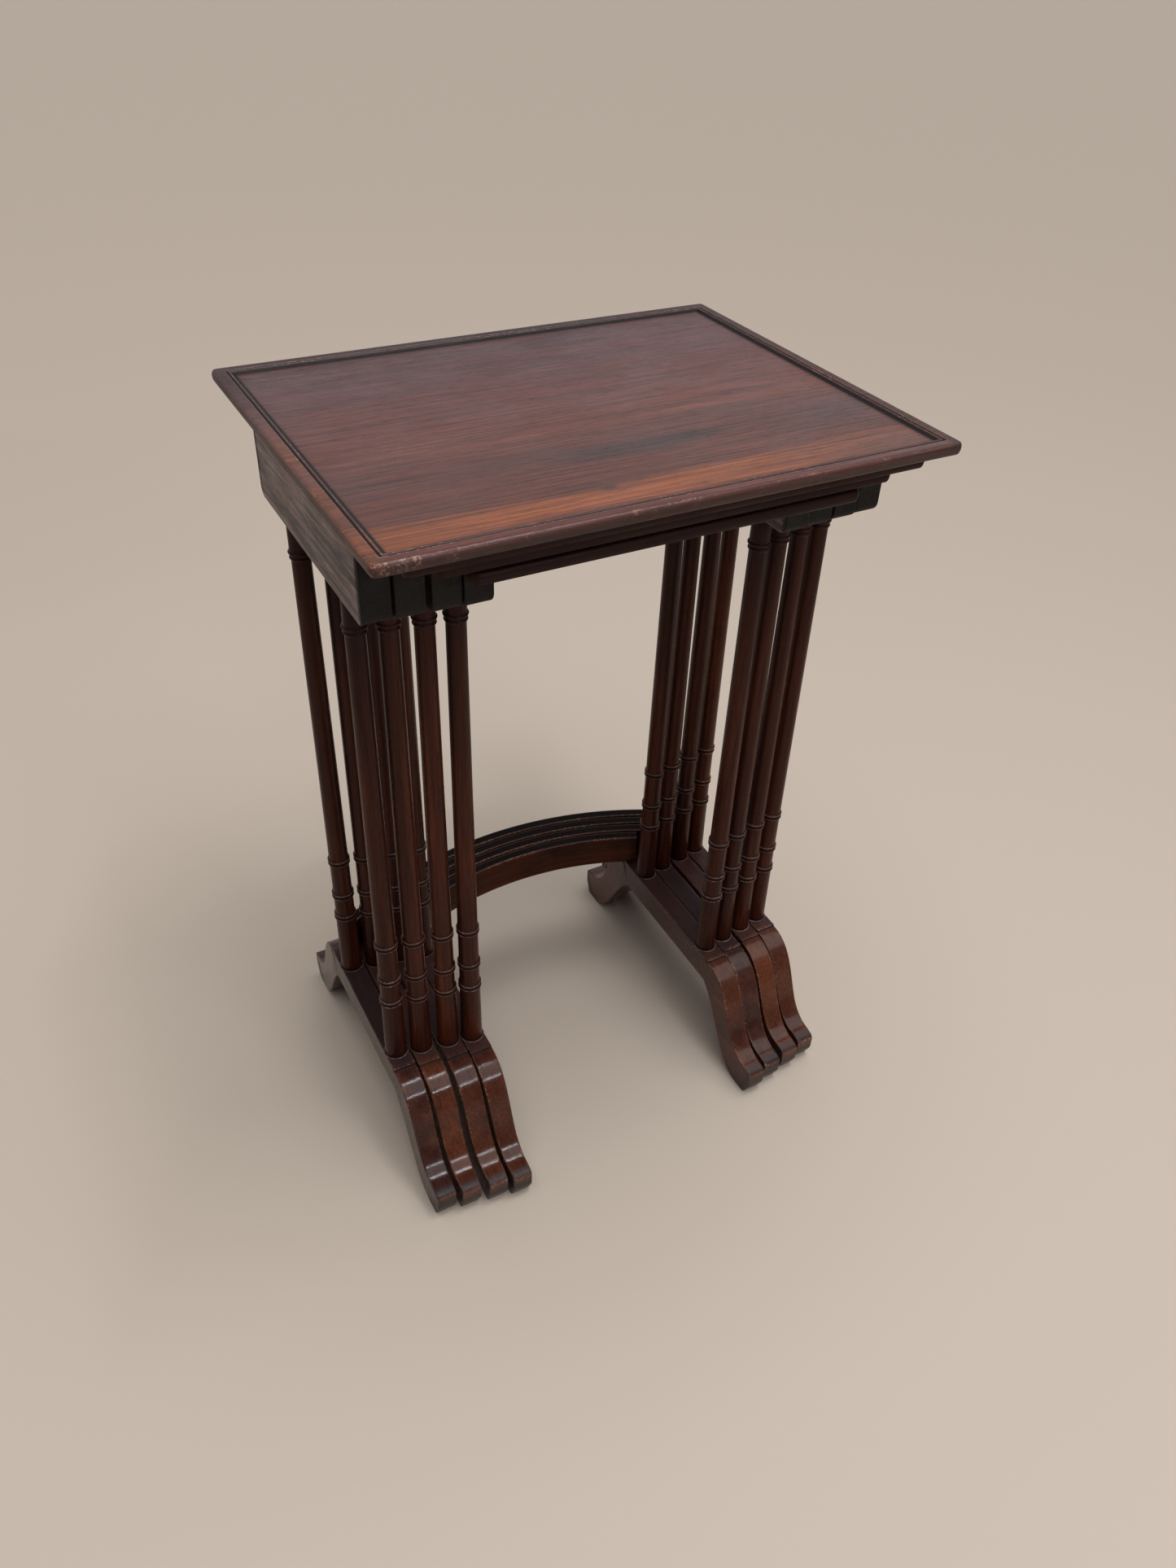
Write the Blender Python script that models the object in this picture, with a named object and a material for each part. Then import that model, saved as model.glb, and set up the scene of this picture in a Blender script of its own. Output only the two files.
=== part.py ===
"""A nest of four mahogany tables (a quartetto nest), each a size smaller than the one it slides under.

Every table is built the same way: a top board with a raised rim, two bearer rails screwed up under it,
four ring-turned columns tenoned into the rails, two sledge feet with ogee ends that the columns stand in,
and a bowed stretcher tenoned into the sledge feet behind the columns. Each smaller top runs in rebates
in the rails of the next larger table, and each smaller table slides out towards -Y.

Lengths are in millimetres and become metres when a mesh is made. +Z is up, the nest faces -Y, and the
origin is on the floor under the middle of the whole nest.
"""

import math

import bmesh
import bpy
from mathutils import Matrix, Vector

MM = 0.001

# --- driving dimensions -------------------------------------------------------------------------------
TABLES = ("largest", "second", "third", "smallest")
HEIGHT = 720.0  # floor to the rim of the largest top
FIT = 0.3  # gap between two pieces that touch
CUT_PAST = 1.0  # how far a cutting shape runs past the face it enters

FRAME_X = (215.0, 190.4, 163.6, 139.8)  # from the middle of the nest to the middle of each end frame
FRAME_WIDTH = 23.0  # thickness of rails and sledge feet
TABLE_STEP = 4.8  # each smaller table stands this much further forward

TOP_WIDTH = 478.0  # the largest top, along X
TOP_LAP = 10.5  # how far a smaller top reaches into the rails that it runs in
TOP_OVERHANG = (67.0, 55.0, 45.0, 42.0)  # top beyond the ends of its rails, front and back
TOP_THICK = (10.0, 9.8, 9.8, 9.8)
TOP_GAP = (0.0, 0.7, 0.7, 2.0)  # above each top, up to the top over it
TOP_CORNER = 5.0
TOP_CORNER_STEPS = 3
NOSING = ((1.4, 0.0), (0.0, 0.22), (0.0, 0.72), (2.6, 1.0))  # inset, and height as part of the thickness
RIM_WIDTH = 14.0
RIM_SLOPE = 1.2  # from the rim's inner edge down to the field
FIELD_DEPTH = 2.2  # the field lies this far below the rim

RAIL_HALF = 120.0  # half the length of the largest table's rails
RAIL_HALF_STEP = 3.0
RAIL_BOTTOM = 636.0
RAIL_CORNER = 9.0
REBATE_CLEARANCE = 0.8

COLUMN_Y = 64.5  # columns stand this far in front of and behind the middle of their frame
COLUMN_SIDES = 10
RING_HEIGHTS = (76.0, 105.0, 149.5, 484.0)  # ring middles above the sledge foot
RING_HALF = 3.5
RING_PROUD = 1.4
NECK_RADIUS = 8.7  # under the rail
TENON_RADIUS = 5.5
TOP_TENON = 20.0
FOOT_TENON = 15.0

SLEDGE_TOP = 121.0
SLEDGE_UNDER = 89.0
SLEDGE_STEP = 1.8  # shallow step where the flat top gives way to the ogee
FLAT_FRONT = 88.0  # the flat top runs this far forward of the frame's middle
FLAT_BACK = 98.0
OGEE = ((140.0, 118.0), (128.0, 38.0), (172.0, 36.0))  # pulls and end of the curve down to the toe
TOE = ((184.0, 31.0), (184.0, 15.0), (177.0, 0.0))
SOLE = ((163.0, 0.0), (126.0, 0.0), (114.0, 66.0), (84.0, SLEDGE_UNDER))  # from the sole up to the beam
OGEE_STEPS = 7
SOLE_STEPS = 6
TOE_HALF = 9.8  # half width of a sledge foot at its toe

STRETCHER_TOP = 158.5
STRETCHER_THICK = 11.2
BOW_RADIUS = 390.0  # back face of the largest stretcher
BOW_RADIUS_STEP = 17.9
BOW_APEX = 154.5  # its furthest point behind the frame's middle
BOW_APEX_STEP = 8.6
BOW_STEPS = 14
STUB_TENON = (8.0, 6.0, 12.0)  # along the stretcher, across it, and down

SCREW_Y = 95.0
SCREW_X = 4.2  # outwards from the middle of the rail
SCREW_LENGTH = 24.0
SCREW_RADIUS = 1.9
SCREW_HEAD_RADIUS = 3.9
SCREW_HEAD = 2.2
SCREW_BITE = 6.0  # into the top board
SCREW_EASE = 0.6  # between a screw and its holes
SCREW_SIDES = 8

# The foremost point is the smallest table's toe and the rearmost is the back of the largest top, so the
# frames are set back by half the difference to centre the nest on its origin.
TOE_REACH = TOE[0][0]
LARGEST_HALF_DEPTH = RAIL_HALF + TOP_OVERHANG[0]
NEST_Y = (TOE_REACH + TABLE_STEP * (len(TABLES) - 1) - LARGEST_HALF_DEPTH) / 2

FINISHES = {
    "top": ((0.105, 0.036, 0.020), 0.30, 0.0),
    "rail": ((0.085, 0.034, 0.021), 0.38, 0.0),
    "column": ((0.050, 0.016, 0.010), 0.32, 0.0),
    "sledge": ((0.060, 0.022, 0.015), 0.30, 0.0),
    "stretcher": ((0.066, 0.020, 0.012), 0.34, 0.0),
    "screw": ((0.30, 0.27, 0.22), 0.42, 1.0),
}


# --- shared tools -------------------------------------------------------------------------------------
def clear_scene():
    for obj in list(bpy.data.objects):
        bpy.data.objects.remove(obj, do_unlink=True)


def finish(name, kind):
    colour, roughness, metallic = FINISHES[kind]
    made = bpy.data.materials.new(name + "_finish")
    made.use_nodes = True
    shader = made.node_tree.nodes["Principled BSDF"]
    shader.inputs["Base Color"].default_value = (*colour, 1.0)
    shader.inputs["Roughness"].default_value = roughness
    shader.inputs["Metallic"].default_value = metallic
    made.diffuse_color = (*colour, 1.0)
    return made


def add_object(name, shape, parent, location=(0.0, 0.0, 0.0)):
    """An object from a bmesh in millimetres, placed in its table's own frame."""
    bmesh.ops.recalc_face_normals(shape, faces=shape.faces)
    bmesh.ops.scale(shape, vec=(MM, MM, MM), verts=shape.verts)
    mesh = bpy.data.meshes.new(name)
    shape.to_mesh(mesh)
    shape.free()
    obj = bpy.data.objects.new(name, mesh)
    bpy.context.scene.collection.objects.link(obj)
    obj.parent = parent
    obj.location = Vector(location) * MM
    return obj


def add_part(name, kind, shape, parent, location=(0.0, 0.0, 0.0)):
    part = add_object(name, shape, parent, location)
    part.data.materials.append(finish(name, kind))
    part.data.shade_smooth()
    part.data.set_sharp_from_angle(angle=math.radians(32))
    return part


def combine(part, name, operation, shape, location=(0.0, 0.0, 0.0)):
    """Joins or cuts a part with a hidden helper that stands in the same table frame."""
    helper = add_object(name, shape, part.parent, location)
    helper.hide_render = True
    helper.display_type = "WIRE"
    modifier = part.modifiers.new(name, "BOOLEAN")
    modifier.operation = operation
    modifier.solver = "EXACT"
    modifier.object = helper


def stacked_rings(shape, rings):
    """Closes a shape over equal rings of points: a face at each end and quads between."""
    loops = [[shape.verts.new(point) for point in ring] for ring in rings]
    shape.faces.new(loops[0])
    shape.faces.new(loops[-1])
    count = len(loops[0])
    for low, high in zip(loops, loops[1:]):
        for i in range(count):
            j = (i + 1) % count
            shape.faces.new((low[i], low[j], high[j], high[i]))


def box(shape, low, high, matrix=None):
    centre = (Vector(low) + Vector(high)) / 2
    size = Vector(high) - Vector(low)
    place = Matrix.Translation(centre) @ Matrix.Diagonal((*size, 1.0))
    bmesh.ops.create_cube(shape, size=1.0, matrix=(matrix or Matrix()) @ place)


def turned(shape, profile, sides, centre=(0.0, 0.0)):
    """A solid turned about a vertical line, from (radius, height) points listed upwards."""
    rings = []
    for radius, height in profile:
        angles = [2 * math.pi * (i + 0.5) / sides for i in range(sides)]
        rings.append(
            [
                (centre[0] + radius * math.cos(a), centre[1] + radius * math.sin(a), height)
                for a in angles
            ]
        )
    stacked_rings(shape, rings)


def bezier(start, pull_start, pull_end, end, steps):
    """Points along a cubic curve in a plane, both ends included."""
    points = []
    for i in range(steps + 1):
        t = i / steps
        weights = ((1 - t) ** 3, 3 * t * (1 - t) ** 2, 3 * t * t * (1 - t), t**3)
        controls = (start, pull_start, pull_end, end)
        points.append(tuple(sum(w * c[k] for w, c in zip(weights, controls)) for k in (0, 1)))
    return points


def arc(centre, radius, start, end, steps):
    """Points along a circular arc in a plane, angles in degrees, both ends included."""
    points = []
    for i in range(steps + 1):
        angle = math.radians(start + (end - start) * i / steps)
        points.append((centre[0] + radius * math.cos(angle), centre[1] + radius * math.sin(angle)))
    return points


# --- sizes that follow from the driving dimensions ----------------------------------------------------
def rail_half(index):
    return RAIL_HALF - RAIL_HALF_STEP * index


def top_levels(index):
    """Underside and rim height of a top."""
    rim = HEIGHT
    for above in range(index):
        rim -= TOP_THICK[above] + TOP_GAP[above + 1]
    return rim - TOP_THICK[index], rim


def top_half_width(index):
    if index == 0:
        return TOP_WIDTH / 2
    return FRAME_X[index - 1] - FRAME_WIDTH / 2 + TOP_LAP


# --- parts --------------------------------------------------------------------------------------------
def plan_ring(half_x, half_y, corner, height):
    """A rounded rectangle at one height."""
    points = []
    quarters = ((1, 1, 0), (-1, 1, 90), (-1, -1, 180), (1, -1, 270))
    for side_x, side_y, start in quarters:
        centre = (side_x * (half_x - corner), side_y * (half_y - corner))
        points += [(x, y, height) for x, y in arc(centre, corner, start, start + 90, TOP_CORNER_STEPS)]
    return points


def screw_places(index):
    for side_x in (-1, 1):
        for side_y in (-1, 1):
            yield side_x, side_y, (side_x * (FRAME_X[index] + SCREW_X), side_y * SCREW_Y)


def top_board(index, table):
    """A board with a rounded nosing and a sunk field inside a raised rim."""
    name = TABLES[index] + "_top"
    under, rim = top_levels(index)
    half_x = top_half_width(index)
    half_y = rail_half(index) + TOP_OVERHANG[index]
    thick = rim - under
    section = [(inset, share * thick) for inset, share in NOSING]
    section += [(RIM_WIDTH, thick), (RIM_WIDTH + RIM_SLOPE, thick - FIELD_DEPTH)]
    shape = bmesh.new()
    rings = []
    for inset, height in section:
        corner = max(TOP_CORNER - inset, 0.8)
        rings.append(plan_ring(half_x - inset, half_y - inset, corner, under + height))
    stacked_rings(shape, rings)
    board = add_part(name, "top", shape, table)

    holes = bmesh.new()
    for _, _, place in screw_places(index):
        radius = SCREW_RADIUS + SCREW_EASE
        bore = ((radius, under - CUT_PAST), (radius, under + SCREW_BITE + FIT))
        turned(holes, bore, SCREW_SIDES, place)
    combine(board, name + "_screw_holes", "DIFFERENCE", holes)


def rail(index, side, table):
    """A bearer rail: round lower corners, a rebate for the next top, mortises and screw holes."""
    side_name = "left" if side < 0 else "right"
    name = f"{TABLES[index]}_{side_name}_rail"
    x = side * FRAME_X[index]
    half = rail_half(index)
    top = top_levels(index)[0] - FIT
    corner_z = RAIL_BOTTOM + RAIL_CORNER
    outline = [(half, top), (-half, top)]
    outline += arc((RAIL_CORNER - half, corner_z), RAIL_CORNER, 180, 270, 3)
    outline += arc((half - RAIL_CORNER, corner_z), RAIL_CORNER, 270, 360, 3)
    shape = bmesh.new()
    ends = (x - FRAME_WIDTH / 2, x + FRAME_WIDTH / 2)
    stacked_rings(shape, [[(end, y, z) for y, z in outline] for end in ends])
    bearer = add_part(name, "rail", shape, table)

    if index + 1 < len(TABLES):
        rebate = bmesh.new()
        floor = top_levels(index + 1)[0] - REBATE_CLEARANCE
        inner = FRAME_X[index] - FRAME_WIDTH / 2 - CUT_PAST
        outer = top_half_width(index + 1) + REBATE_CLEARANCE
        reach = sorted((side * inner, side * outer))
        low = (reach[0], -half - CUT_PAST, floor)
        box(rebate, low, (reach[1], half + CUT_PAST, top + CUT_PAST))
        combine(bearer, name + "_rebate", "DIFFERENCE", rebate)

    mortises = bmesh.new()
    for side_y in (-1, 1):
        wide = TENON_RADIUS + FIT
        hole = ((wide, RAIL_BOTTOM - CUT_PAST), (wide, RAIL_BOTTOM + TOP_TENON + FIT))
        turned(mortises, hole, COLUMN_SIDES, (x, side_y * COLUMN_Y))
    combine(bearer, name + "_mortises", "DIFFERENCE", mortises)

    holes = bmesh.new()
    seat = top + FIT + SCREW_BITE - SCREW_LENGTH
    for side_x, _, place in screw_places(index):
        if side_x == side:
            bore = SCREW_RADIUS + SCREW_EASE
            sink = SCREW_HEAD_RADIUS + SCREW_EASE
            bottom = RAIL_BOTTOM - CUT_PAST
            profile = ((sink, bottom), (sink, seat), (bore, seat), (bore, top + CUT_PAST))
            turned(holes, profile, SCREW_SIDES, place)
    combine(bearer, name + "_screw_holes", "DIFFERENCE", holes)


def column_radius(height):
    """Shaft radius at a height above the sledge foot: stout below the rings, then a long taper."""
    low, high = RING_HEIGHTS[0], RING_HEIGHTS[-1]
    if height <= low:
        return 10.7 - 0.8 * height / low
    return 9.7 - 1.5 * (height - low) / (high - low)


def column(index, side_x, side_y, table):
    """A turned column with four rings and a tenon at each end."""
    x_name = "left" if side_x < 0 else "right"
    y_name = "front" if side_y < 0 else "back"
    name = f"{TABLES[index]}_{y_name}_{x_name}_column"
    length = RAIL_BOTTOM - SLEDGE_TOP - 2 * FIT
    profile = [(TENON_RADIUS, -FOOT_TENON), (TENON_RADIUS, 0.0), (column_radius(0.0), 0.0)]
    for middle in RING_HEIGHTS:
        shaft = column_radius(middle)
        profile.append((shaft, middle - RING_HALF))
        profile.append((shaft + RING_PROUD, middle))
        profile.append((shaft, middle + RING_HALF))
    profile += [(NECK_RADIUS, length), (TENON_RADIUS, length), (TENON_RADIUS, length + TOP_TENON)]
    shape = bmesh.new()
    turned(shape, profile, COLUMN_SIDES)
    place = (side_x * FRAME_X[index], side_y * COLUMN_Y, SLEDGE_TOP + FIT)
    add_part(name, "column", shape, table, place)


def ogee_end(flat):
    """Half the outline of a sledge foot, from the end of its flat top round the toe to its underside."""
    shoulder = SLEDGE_TOP - SLEDGE_STEP
    points = [(flat, SLEDGE_TOP)]
    points += bezier((flat, shoulder), *OGEE, OGEE_STEPS)
    points += TOE
    points += bezier(*SOLE, SOLE_STEPS)
    return points


def sledge_foot(index, side, table):
    """A beam on two ogee feet that narrow towards the toe, mortised for two columns and the stretcher."""
    side_name = "left" if side < 0 else "right"
    name = f"{TABLES[index]}_{side_name}_sledge_foot"
    x = side * FRAME_X[index]
    front = [(-u, z) for u, z in reversed(ogee_end(FLAT_FRONT))]
    outline = ogee_end(FLAT_BACK) + front
    half = FRAME_WIDTH / 2
    shape = bmesh.new()
    stacked_rings(shape, [[(end, y, z) for y, z in outline] for end in (-half, half)])
    for side_y in (-1, 1):
        geometry = shape.verts[:] + shape.edges[:] + shape.faces[:]
        bmesh.ops.bisect_plane(
            shape, geom=geometry, plane_co=(0, side_y * FLAT_BACK, 0), plane_no=(0, 1, 0), dist=1e-4
        )
    for vert in shape.verts:
        past = max(0.0, abs(vert.co.y) - FLAT_BACK) / (TOE_REACH - FLAT_BACK)
        vert.co.x *= 1.0 - past * (1.0 - TOE_HALF / half)
    foot = add_part(name, "sledge", shape, table, (x, 0.0, 0.0))

    mortises = bmesh.new()
    for side_y in (-1, 1):
        hole = (
            (TENON_RADIUS + FIT, SLEDGE_TOP - FOOT_TENON),
            (TENON_RADIUS + FIT, SLEDGE_TOP + CUT_PAST),
        )
        turned(mortises, hole, COLUMN_SIDES, (x, side_y * COLUMN_Y))
    box(mortises, *stub_tenon_box(FIT), stretcher_end(index, side))
    combine(foot, name + "_mortises", "DIFFERENCE", mortises)


def bow(index):
    """Radius of the back face of a stretcher and the Y of its centre, in the table's frame."""
    radius = BOW_RADIUS - BOW_RADIUS_STEP * index
    return radius, BOW_APEX - BOW_APEX_STEP * index - radius


def bow_half_angle(index):
    radius = bow(index)[0]
    return math.asin((FRAME_X[index] + 1.0) / (radius - STRETCHER_THICK / 2))


def stretcher_end(index, side):
    """Where the stub tenon stands: on the middle line of the bow, over the sledge foot."""
    radius, centre_y = bow(index)
    middle = radius - STRETCHER_THICK / 2
    angle = side * math.asin((FRAME_X[index] - 3.0) / middle)
    place = (middle * math.sin(angle), centre_y + middle * math.cos(angle), SLEDGE_TOP + FIT)
    return Matrix.Translation(place) @ Matrix.Rotation(-angle, 4, "Z")


def stub_tenon_box(ease):
    """Corners of the stub tenon, or of its mortise when ease is the fit."""
    along, across, down = STUB_TENON
    low = (-along / 2 - ease, -across / 2 - ease, -down - ease)
    return low, (along / 2 + ease, across / 2 + ease, 2.0)


def stretcher(index, table):
    """A board on edge, bowed back, with a stub tenon down into each sledge foot."""
    name = TABLES[index] + "_stretcher"
    radius, centre_y = bow(index)
    half_angle = math.degrees(bow_half_angle(index))
    inner = arc((0.0, centre_y), radius - STRETCHER_THICK, 90 + half_angle, 90 - half_angle, BOW_STEPS)
    outer = arc((0.0, centre_y), radius, 90 + half_angle, 90 - half_angle, BOW_STEPS)
    low = SLEDGE_TOP + FIT
    shape = bmesh.new()
    sections = []
    for near, far in zip(inner, outer):
        sections.append([(*near, low), (*far, low), (*far, STRETCHER_TOP), (*near, STRETCHER_TOP)])
    stacked_rings(shape, sections)
    board = add_part(name, "stretcher", shape, table)

    tenons = bmesh.new()
    for side in (-1, 1):
        box(tenons, *stub_tenon_box(0.0), stretcher_end(index, side))
    combine(board, name + "_tenons", "UNION", tenons)


def screws(index, table):
    """Top-fixing screws, head down in the rail's deep counterbore and point up in the top board."""
    under = top_levels(index)[0]
    for side_x, side_y, place in screw_places(index):
        x_name = "left" if side_x < 0 else "right"
        y_name = "front" if side_y < 0 else "back"
        profile = (
            (SCREW_HEAD_RADIUS, -SCREW_HEAD),
            (SCREW_HEAD_RADIUS, 0.0),
            (SCREW_RADIUS, 0.0),
            (SCREW_RADIUS, SCREW_LENGTH - 4.0),
            (0.6, SCREW_LENGTH),
        )
        shape = bmesh.new()
        turned(shape, profile, SCREW_SIDES)
        seat = under + SCREW_BITE - SCREW_LENGTH - FIT
        name = f"{TABLES[index]}_{y_name}_{x_name}_screw"
        add_part(name, "screw", shape, table, (*place, seat))


def add_table(index, parent):
    """One table, on an empty that carries every smaller table."""
    table = bpy.data.objects.new(TABLES[index] + "_table", None)
    bpy.context.scene.collection.objects.link(table)
    table.parent = parent
    table.location = (0.0, -TABLE_STEP * MM if parent else NEST_Y * MM, 0.0)
    top_board(index, table)
    for side_x in (-1, 1):
        rail(index, side_x, table)
        sledge_foot(index, side_x, table)
        for side_y in (-1, 1):
            column(index, side_x, side_y, table)
    stretcher(index, table)
    screws(index, table)
    return table


def main():
    clear_scene()
    parent = None
    for index in range(len(TABLES)):
        parent = add_table(index, parent)


main()
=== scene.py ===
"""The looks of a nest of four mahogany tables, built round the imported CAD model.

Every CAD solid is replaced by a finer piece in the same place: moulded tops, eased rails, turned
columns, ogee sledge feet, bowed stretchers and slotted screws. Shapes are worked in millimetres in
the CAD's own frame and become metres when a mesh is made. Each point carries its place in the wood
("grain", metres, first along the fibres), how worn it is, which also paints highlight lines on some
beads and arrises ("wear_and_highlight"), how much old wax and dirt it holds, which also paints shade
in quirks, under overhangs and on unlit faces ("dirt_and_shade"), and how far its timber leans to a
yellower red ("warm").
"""

import functools
import math
import random

import bmesh
import bpy
from mathutils import Matrix, Vector


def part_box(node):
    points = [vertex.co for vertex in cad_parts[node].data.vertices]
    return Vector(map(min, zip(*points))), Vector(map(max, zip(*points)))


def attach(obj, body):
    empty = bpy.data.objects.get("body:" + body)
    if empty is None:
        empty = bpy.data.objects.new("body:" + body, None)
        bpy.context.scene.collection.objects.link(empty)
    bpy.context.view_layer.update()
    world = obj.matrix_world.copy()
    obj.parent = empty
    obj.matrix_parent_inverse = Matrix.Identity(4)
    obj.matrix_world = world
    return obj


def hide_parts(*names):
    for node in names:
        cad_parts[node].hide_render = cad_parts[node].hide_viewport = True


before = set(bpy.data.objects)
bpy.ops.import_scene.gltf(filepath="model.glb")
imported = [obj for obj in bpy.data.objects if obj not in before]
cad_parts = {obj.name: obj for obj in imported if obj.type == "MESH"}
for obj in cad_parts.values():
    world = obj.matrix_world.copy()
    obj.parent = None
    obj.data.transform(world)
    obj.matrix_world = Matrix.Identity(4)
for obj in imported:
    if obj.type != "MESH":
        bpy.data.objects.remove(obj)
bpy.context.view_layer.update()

MM = 0.001
TABLES = ("largest", "second", "third", "smallest")
SIDES = (("left", -1), ("right", 1))
ENDS = (("front", -1), ("back", 1))


# --- meshes ---------------------------------------------------------------------------------------
class Shape:
    """A mesh in the making, in millimetres, with its wear and dirt at each point, which also carry painted
    highlights and painted shade.
    """

    def __init__(self):
        self.mesh = bmesh.new()
        self.wear_and_highlight = self.mesh.verts.layers.float.new("wear_and_highlight")
        self.dirt_and_shade = self.mesh.verts.layers.float.new("dirt_and_shade")

    def ring(self, points, wear_and_highlight=0.0, dirt_and_shade=0.0):
        made = []
        for point in points:
            vert = self.mesh.verts.new(point)
            vert[self.wear_and_highlight] = wear_and_highlight
            vert[self.dirt_and_shade] = dirt_and_shade
            made.append(vert)
        return made

    def skin(self, rings, ends=True):
        """Quads between equal closed rings, and a face over each end."""
        count = len(rings[0])
        for low, high in zip(rings, rings[1:]):
            for i in range(count):
                j = (i + 1) % count
                self.mesh.faces.new((low[i], low[j], high[j], high[i]))
        if ends:
            self.mesh.faces.new(rings[0])
            self.mesh.faces.new(rings[-1])

    def slice(self, axis, place):
        """An extra row of points where a plane crosses the shape."""
        normal = Vector((axis == 0, axis == 1, axis == 2))
        everything = self.mesh.verts[:] + self.mesh.edges[:] + self.mesh.faces[:]
        bmesh.ops.bisect_plane(
            self.mesh, geom=everything, plane_co=normal * place, plane_no=normal, dist=1e-4
        )


def mesh_object(name, shape, place=(0.0, 0.0, 0.0)):
    bmesh.ops.recalc_face_normals(shape.mesh, faces=shape.mesh.faces)
    bmesh.ops.translate(shape.mesh, vec=place, verts=shape.mesh.verts)
    bmesh.ops.scale(shape.mesh, vec=(MM, MM, MM), verts=shape.mesh.verts)
    data = bpy.data.meshes.new(name)
    shape.mesh.to_mesh(data)
    shape.mesh.free()
    made = bpy.data.objects.new(name, data)
    bpy.context.scene.collection.objects.link(made)
    return made


def cut(piece, cutter_shape):
    """Takes a cutter out of a piece and leaves the result in its mesh."""
    cutter = mesh_object(piece.name + "_cutter", cutter_shape)
    modifier = piece.modifiers.new("cut", "BOOLEAN")
    modifier.operation = "DIFFERENCE"
    modifier.solver = "MANIFOLD"
    modifier.object = cutter
    graph = bpy.context.evaluated_depsgraph_get()
    result = bpy.data.meshes.new_from_object(piece.evaluated_get(graph))
    piece.modifiers.clear()
    old = piece.data
    piece.data = result
    result.name = piece.name
    bpy.data.meshes.remove(old)
    bpy.data.objects.remove(cutter, do_unlink=True)


def settle(piece, node, body, material, grain, sharp=40.0):
    """Gives a piece its grain, its shading, its material and its place in the frame."""
    data = piece.data
    along = data.attributes.new("grain", "FLOAT_VECTOR", "POINT")
    seed = random.Random(node)
    shift = Vector((seed.uniform(-4, 4), seed.uniform(-4, 4), seed.uniform(-4, 4)))
    if node == "largest_top":
        # its bands, dark patches and knot have places on the board, so its grain isn't shifted
        shift = Vector((0.0, 0.0, 0.0))
    for vert, entry in zip(data.vertices, along.data):
        entry.vector = Vector(grain(vert.co)) + shift
    warm = data.attributes.new("warm", "FLOAT", "POINT")
    for entry in warm.data:
        entry.value = WARMTH.get(node, 0.0)
    data.shade_smooth()
    data.set_sharp_from_angle(angle=math.radians(sharp))
    data.materials.clear()
    data.materials.append(material)
    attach(piece, body)
    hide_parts(node)
    return piece


def arc(centre, radius, start, end, steps):
    """Points along a circular arc in a plane, angles in degrees, both ends included."""
    points = []
    for i in range(steps + 1):
        angle = math.radians(start + (end - start) * i / steps)
        points.append((centre[0] + radius * math.cos(angle), centre[1] + radius * math.sin(angle)))
    return points


def bezier(controls, steps):
    """Points along a cubic curve in a plane, both ends included."""
    points = []
    for i in range(steps + 1):
        t = i / steps
        weights = ((1 - t) ** 3, 3 * t * (1 - t) ** 2, 3 * t * t * (1 - t), t**3)
        points.append(tuple(sum(w * c[k] for w, c in zip(weights, controls)) for k in (0, 1)))
    return points


def fillet(before, corner, after, reach, steps=3):
    """A corner rounded over a short reach along both of its edges."""
    corner = Vector(corner)
    start = corner + (Vector(before) - corner).normalized() * reach
    end = corner + (Vector(after) - corner).normalized() * reach
    points = []
    for i in range(steps + 1):
        t = i / steps
        point = start * (1 - t) ** 2 + corner * 2 * t * (1 - t) + end * t * t
        points.append(tuple(point))
    return points


SHARPEST_TURN = 0.35  # 1 + the cosine of a corner's turn, kept above this on sharp corners


def inset(outline, distance):
    """The outline moved inwards; its points run anticlockwise."""
    moved = []
    count = len(outline)
    for i in range(count):
        here = Vector(outline[i])
        before = (here - Vector(outline[i - 1])).normalized()
        after = (Vector(outline[(i + 1) % count]) - here).normalized()
        normal_a = Vector((-before.y, before.x))
        normal_b = Vector((-after.y, after.x))
        reach = max(SHARPEST_TURN, 1 + normal_a.dot(normal_b))
        moved.append(tuple(here + (normal_a + normal_b) * (distance / reach)))
    return moved


def eased_sections(half, ease, steps=3, apron=1.6):
    """(offset across, inset of the outline, wear) from one side of a board to the other."""
    sections = [(half, ease + apron, 0.0)]
    # round the arris from the side face to the edge face: the offset and the inset both fall
    for i in range(steps + 1):
        angle = math.pi / 2 * i / steps
        offset = half - ease * (1 - math.cos(angle))
        worn = 1.0 if 0 < i < steps else 0.55
        sections.append((offset, ease * (1 - math.sin(angle)), worn))
    sections.append((half - ease - apron, 0.0, 0.0))
    return sections + [(-offset, drawn, worn) for offset, drawn, worn in reversed(sections)]


def full_turn(sides):
    """Evenly spaced angles round a circle, in radians."""
    return [2 * math.pi * i / sides for i in range(sides)]


def lathe(profile, sides, place):
    """A turned solid from (radius, height, wear, dirt) points listed upwards."""
    shape = Shape()
    rings = []
    for radius, height, wear_and_highlight, dirt_and_shade in profile:
        points = [
            (place[0] + radius * math.cos(angle), place[1] + radius * math.sin(angle), height)
            for angle in full_turn(sides)
        ]
        rings.append(shape.ring(points, wear_and_highlight, dirt_and_shade))
    shape.skin(rings)
    return shape


@functools.lru_cache(maxsize=None)
def box_mm(node):
    low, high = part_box(node)
    return Vector(low) / MM, Vector(high) / MM


def span_mm(node):
    """A CAD piece's lowest corner, highest corner and middle."""
    low, high = box_mm(node)
    return low, high, (low + high) / 2


GLUE_GAP = 0.3  # stands in for every glued or screwed joint
PAST_FACE = 2.0  # how far a cutter runs out through an open face
BORE_SIDES = 24
TENON_RADIUS = 5.5
SCREW_SHANK_BORE = 2.5
SCREW_HEAD_BORE = 4.6
SCREW_HEAD_HEIGHT = 2.2


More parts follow.
